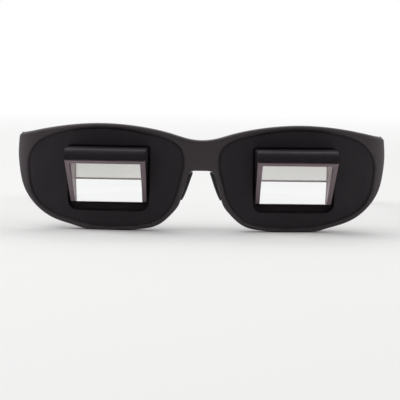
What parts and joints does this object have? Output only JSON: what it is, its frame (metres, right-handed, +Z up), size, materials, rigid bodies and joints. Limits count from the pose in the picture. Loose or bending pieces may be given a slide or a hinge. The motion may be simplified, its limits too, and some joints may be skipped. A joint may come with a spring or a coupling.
{
  "type": "prism bed glasses",
  "caption": "Black wrapped spectacle front with hooded glass prisms that turn the view straight down, on folding temples with hooked ends.",
  "frame": {"origin": "middle of the underside of the whole object's box, with the temples open, at the level of the surface that it stands on", "axes": "+X to the wearer's left, +Y back along the temples, +Z up; the front faces -Y"},
  "size_m": [0.1522, 0.1714, 0.0438],
  "materials": {
    "frame_plastic": "black moulded plastic, fine satin, edges a little polished",
    "panel_plastic": "black opaque sheet, fine matt texture",
    "housing_plastic": "black moulded plastic, satin",
    "prism_glass": "polished optical glass, silvered top face and finely ground sides",
    "bezel_plastic": "grey satin trim",
    "retainer_plastic": "black moulded plastic, satin",
    "pad_rubber": "dark blue-grey soft rubber, smooth",
    "hinge_steel": "plated pressed steel, lightly brushed",
    "screw_steel": "bright turned steel",
    "temple_plastic": "black moulded plastic, satin, smoother on the tips"
  },
  "bodies": {
    "front": {"front_frame": "frame_plastic", "left_lens_panel": "panel_plastic", "right_lens_panel": "panel_plastic", "left_prism_housing": "housing_plastic", "right_prism_housing": "housing_plastic", "left_prism": "prism_glass", "right_prism": "prism_glass", "left_prism_bezel": "bezel_plastic", "right_prism_bezel": "bezel_plastic", "left_prism_retainer": "retainer_plastic", "right_prism_retainer": "retainer_plastic", "left_nose_pad": "pad_rubber", "right_nose_pad": "pad_rubber", "left_front_hinge_leaf": "hinge_steel", "right_front_hinge_leaf": "hinge_steel", "left_hinge_screw": "screw_steel", "right_hinge_screw": "screw_steel"},
    "left_temple": {"left_temple": "temple_plastic", "left_temple_hinge_leaf": "hinge_steel"},
    "right_temple": {"right_temple": "temple_plastic", "right_temple_hinge_leaf": "hinge_steel"}
  },
  "joints": [
    {"name": "left_temple_fold", "type": "hinge", "parent": "front", "child": "left_temple", "pos_m": [0.0713, -0.0483, 0.0339], "axis": [0, 0, 1], "range_deg": [0, 91]},
    {"name": "right_temple_fold", "type": "hinge", "parent": "front", "child": "right_temple", "pos_m": [-0.0713, -0.0483, 0.0339], "axis": [0, 0, -1], "range_deg": [0, 86]}
  ]
}
